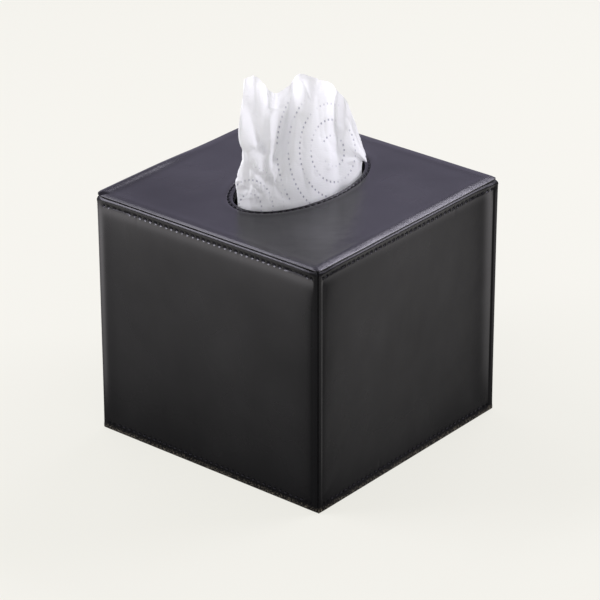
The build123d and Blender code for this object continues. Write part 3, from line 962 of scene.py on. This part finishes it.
# %% The pack
def stack_paper():
    material, tree = new_material("stacked_tissue_paper")
    place = add_node(tree, "ShaderNodeTexCoord").outputs["Object"]
    layers = compute_vector(tree, "MULTIPLY", place, (0.2, 0.2, 4.0))
    edges = noise_field(tree, layers, per_metre(2.0), 3.0)
    principled(tree, {"Base Color": blend(tree, edges, "#dcdbe2", "#f4f3f8"), "Roughness": 0.9,
                      "IOR": 1.4, "Normal": relief(tree, edges, 0.5, 0.3)})
    return material


pack_low, pack_high = [np.array(corner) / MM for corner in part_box("tissue_pack")]
pack_half = (pack_high[0] - pack_low[0]) / 2
pack_turns = np.linspace(0, 2 * np.pi, 161)[:-1]
layer_gap = 2.0


def pack_outline(half, power=9.0):
    """A square with soft corners: a superellipse."""
    c, s = np.cos(pack_turns), np.sin(pack_turns)
    scale = half / (np.abs(c) ** power + np.abs(s) ** power) ** (1 / power)
    return scale * c, scale * s


flat_insets = (45.0, 30.0, 15.0, 6.0)
pack_rows = [(pack_half - inset, 0.0) for inset in flat_insets]
for z in np.arange(0, pack_high[2] + 0.01, layer_gap / 4):
    rib = 0.35 * abs(math.sin(math.pi * z / layer_gap))
    edge = min(z, pack_high[2] - z)
    pack_rows.append((pack_half - 0.4 + rib - float(rounded_edge(np.array([edge]), 2.4)[0]), z))
pack_rows += [(pack_half - inset, pack_high[2]) for inset in flat_insets[::-1]]
pack_points = np.array([np.stack([*pack_outline(half), np.full(len(pack_turns), z)], axis=-1)
                        for half, z in pack_rows])
sag = soft_noise(pack_points, 30, 31)
sides_only = ((pack_points[..., 2] > 3) & (pack_points[..., 2] < pack_high[2] - 3))
pack_points[..., :2] *= 1 + (sides_only * 0.004 * sag)[..., None]
stack = add_grid("tissue_stack", pack_points, stack_paper(), ["tissue_pack"],
                 wrap_columns=True, crisp=55)


def close_ring(piece, row_points, first):
    """Closes the hole left in the middle of the pack's top or underside with one face."""
    work = bmesh.new()
    work.from_mesh(piece.data)
    work.verts.ensure_lookup_table()
    ring = [work.verts[first + k] for k in range(row_points)]
    face = work.faces.new(ring)
    face.smooth = True
    bmesh.ops.recalc_face_normals(work, faces=work.faces)
    work.to_mesh(piece.data)
    work.free()


close_ring(stack, len(pack_turns), 0)
close_ring(stack, len(pack_turns), (len(pack_points) - 1) * len(pack_turns))

# %% [markdown]
# ## Floor, light and camera
#
# A pale floor fills the view. To the camera and in reflections it shows mostly its own colour, and it
# still takes the object's shadow. The world is a soft fill to everything else, and a pale backdrop
# where it is seen straight, through something clear or in a reflection. Black leather shows what it
# reflects, so each bright line on an edge needs a long lamp in the right direction. The roll strips
# are for the edges of the top, the bead strips for the sewn beads below them, and the low strip for
# the swelling below the front's stitches. The upright edges reflect the floor. The softbox, on the
# camera's side, lifts the two sides that show.


# %% Floor
def seen_straight(tree, ray):
    """One where a surface is seen by the camera, straight or through something clear."""
    return compute(tree, "MAXIMUM", ray.outputs["Is Camera Ray"], ray.outputs["Is Transmission Ray"])


def pale_floor():
    material, tree = new_material("pale_studio_floor")
    ray = add_node(tree, "ShaderNodeLightPath")
    own_share = compute(tree, "MAXIMUM", compute(tree, "MULTIPLY", seen_straight(tree, ray), 0.86),
                        compute(tree, "MULTIPLY", ray.outputs["Is Glossy Ray"], 0.45))
    lit = add_node(tree, "ShaderNodeBsdfDiffuse", {"Color": linear("#f3f1ea")})
    own = add_node(tree, "ShaderNodeEmission", {"Color": linear("#f3f2eb"), "Strength": 0.95})
    floor_look = add_node(tree, "ShaderNodeMixShader", {
        0: own_share, 1: lit.outputs["BSDF"], 2: own.outputs["Emission"]})
    add_node(tree, "ShaderNodeOutputMaterial", {"Surface": floor_look.outputs["Shader"]})
    return material


floor_half = 6.0
floor_mesh = bpy.data.meshes.new("floor")
floor_mesh.from_pydata([(x * floor_half, y * floor_half, 0) for x, y in (
    (-1, -1), (1, -1), (1, 1), (-1, 1))], [], [(0, 1, 2, 3)])
floor_mesh.materials.append(pale_floor())
floor = bpy.data.objects.new("floor", floor_mesh)
bpy.context.collection.objects.link(floor)

# %% World and lamps
world = bpy.data.worlds.new("studio")
bpy.context.scene.world = world
world.use_nodes = True
world.node_tree.nodes.clear()
ray = add_node(world.node_tree, "ShaderNodeLightPath")
seen = compute(world.node_tree, "MAXIMUM", seen_straight(world.node_tree, ray),
               ray.outputs["Is Glossy Ray"])
fill = add_node(world.node_tree, "ShaderNodeBackground", {
    "Color": linear("#faf9f9"), "Strength": 0.46})
backdrop = add_node(world.node_tree, "ShaderNodeBackground", {
    "Color": linear("#dfd8f6"), "Strength": 0.9})
either = add_node(world.node_tree, "ShaderNodeMixShader", {
    0: seen, 1: fill.outputs["Background"], 2: backdrop.outputs["Background"]})
add_node(world.node_tree, "ShaderNodeOutputWorld", {"Surface": either.outputs["Shader"]})


def strip_light(name, start, end, width, radiance, colour):
    """A long flat lamp 1.3 m away whose ends are seen in two directions. radiance is what white is
    to the view: a mirror would show the lamp this many times as bright as white."""
    distance, above_floor = 1.3, Vector((0, 0, 0.12))
    ends = [Vector(direction).normalized() * distance for direction in (start, end)]
    middle, length = (ends[0] + ends[1]) / 2, ends[1] - ends[0]
    lamp = bpy.data.lights.new(name, "AREA")
    lamp.shape, lamp.size, lamp.size_y = "RECTANGLE", length.length, width
    lamp.energy = radiance * math.pi * length.length * width
    lamp.color = linear(colour)[:3]
    lamp_object = bpy.data.objects.new(name, lamp)
    along = length.normalized()
    out = (middle - along * middle.dot(along)).normalized()
    lamp_object.matrix_world = Matrix.Translation(middle + above_floor) @ Matrix(
        (along, out.cross(along), out)).transposed().to_4x4()
    bpy.context.collection.objects.link(lamp_object)


strip_light("left_roll_strip", (-0.572, 0.46, 0.68), (-0.572, -0.06, 0.82), 0.22, 5.3, "#f8f6ff")
strip_light("left_bead_strip", (-0.555, -0.10, 0.81), (-0.555, -0.76, 0.33), 0.26, 12.8, "#f8f6ff")
strip_light("low_strip", (-0.572, -0.78, 0.28), (-0.572, -0.82, 0.04), 0.5, 3.0, "#ffffff")
strip_light("right_roll_strip", (-0.33, 0.693, 0.64), (0.12, 0.693, 0.71), 0.20, 12.3, "#f6f3ff")
strip_light("right_bead_strip", (0.15, 0.665, 0.70), (0.70, 0.665, 0.20), 0.24, 14.5, "#f6f3ff")
strip_light("front_softbox", (0.30, -0.92, 0.30), (1.00, -0.15, 0.30), 0.6, 0.95, "#ffffff")

# %% [markdown]
# ## The camera
#
# The place, the turn and the lens were found by matching the cover's edges in the photograph.

# %% Camera
azimuth, elevation, roll = math.radians(39.538), math.radians(25.990), math.radians(-0.1412)
back = Vector((math.sin(azimuth) * math.cos(elevation), -math.cos(azimuth) * math.cos(elevation),
               math.sin(elevation)))
right = (-back).cross(Vector((0, 0, 1))).normalized()
up = right.cross(-back)
turned_right = right * math.cos(roll) + up * math.sin(roll)
turned_up = -right * math.sin(roll) + up * math.cos(roll)
camera_data = bpy.data.cameras.new("photo_view")
camera_data.sensor_width = 36.0
focal_pixels, picture_pixels = 3235.78, 600
camera_data.lens = focal_pixels / picture_pixels * camera_data.sensor_width
camera = bpy.data.objects.new("photo_view", camera_data)
camera.matrix_world = Matrix.Translation(Vector((927.605, -1122.267, 776.374)) * MM) @ Matrix(
    (turned_right, turned_up, back)).transposed().to_4x4()
bpy.context.collection.objects.link(camera)
bpy.context.scene.camera = camera
bpy.context.scene.view_settings.view_transform = "Standard"
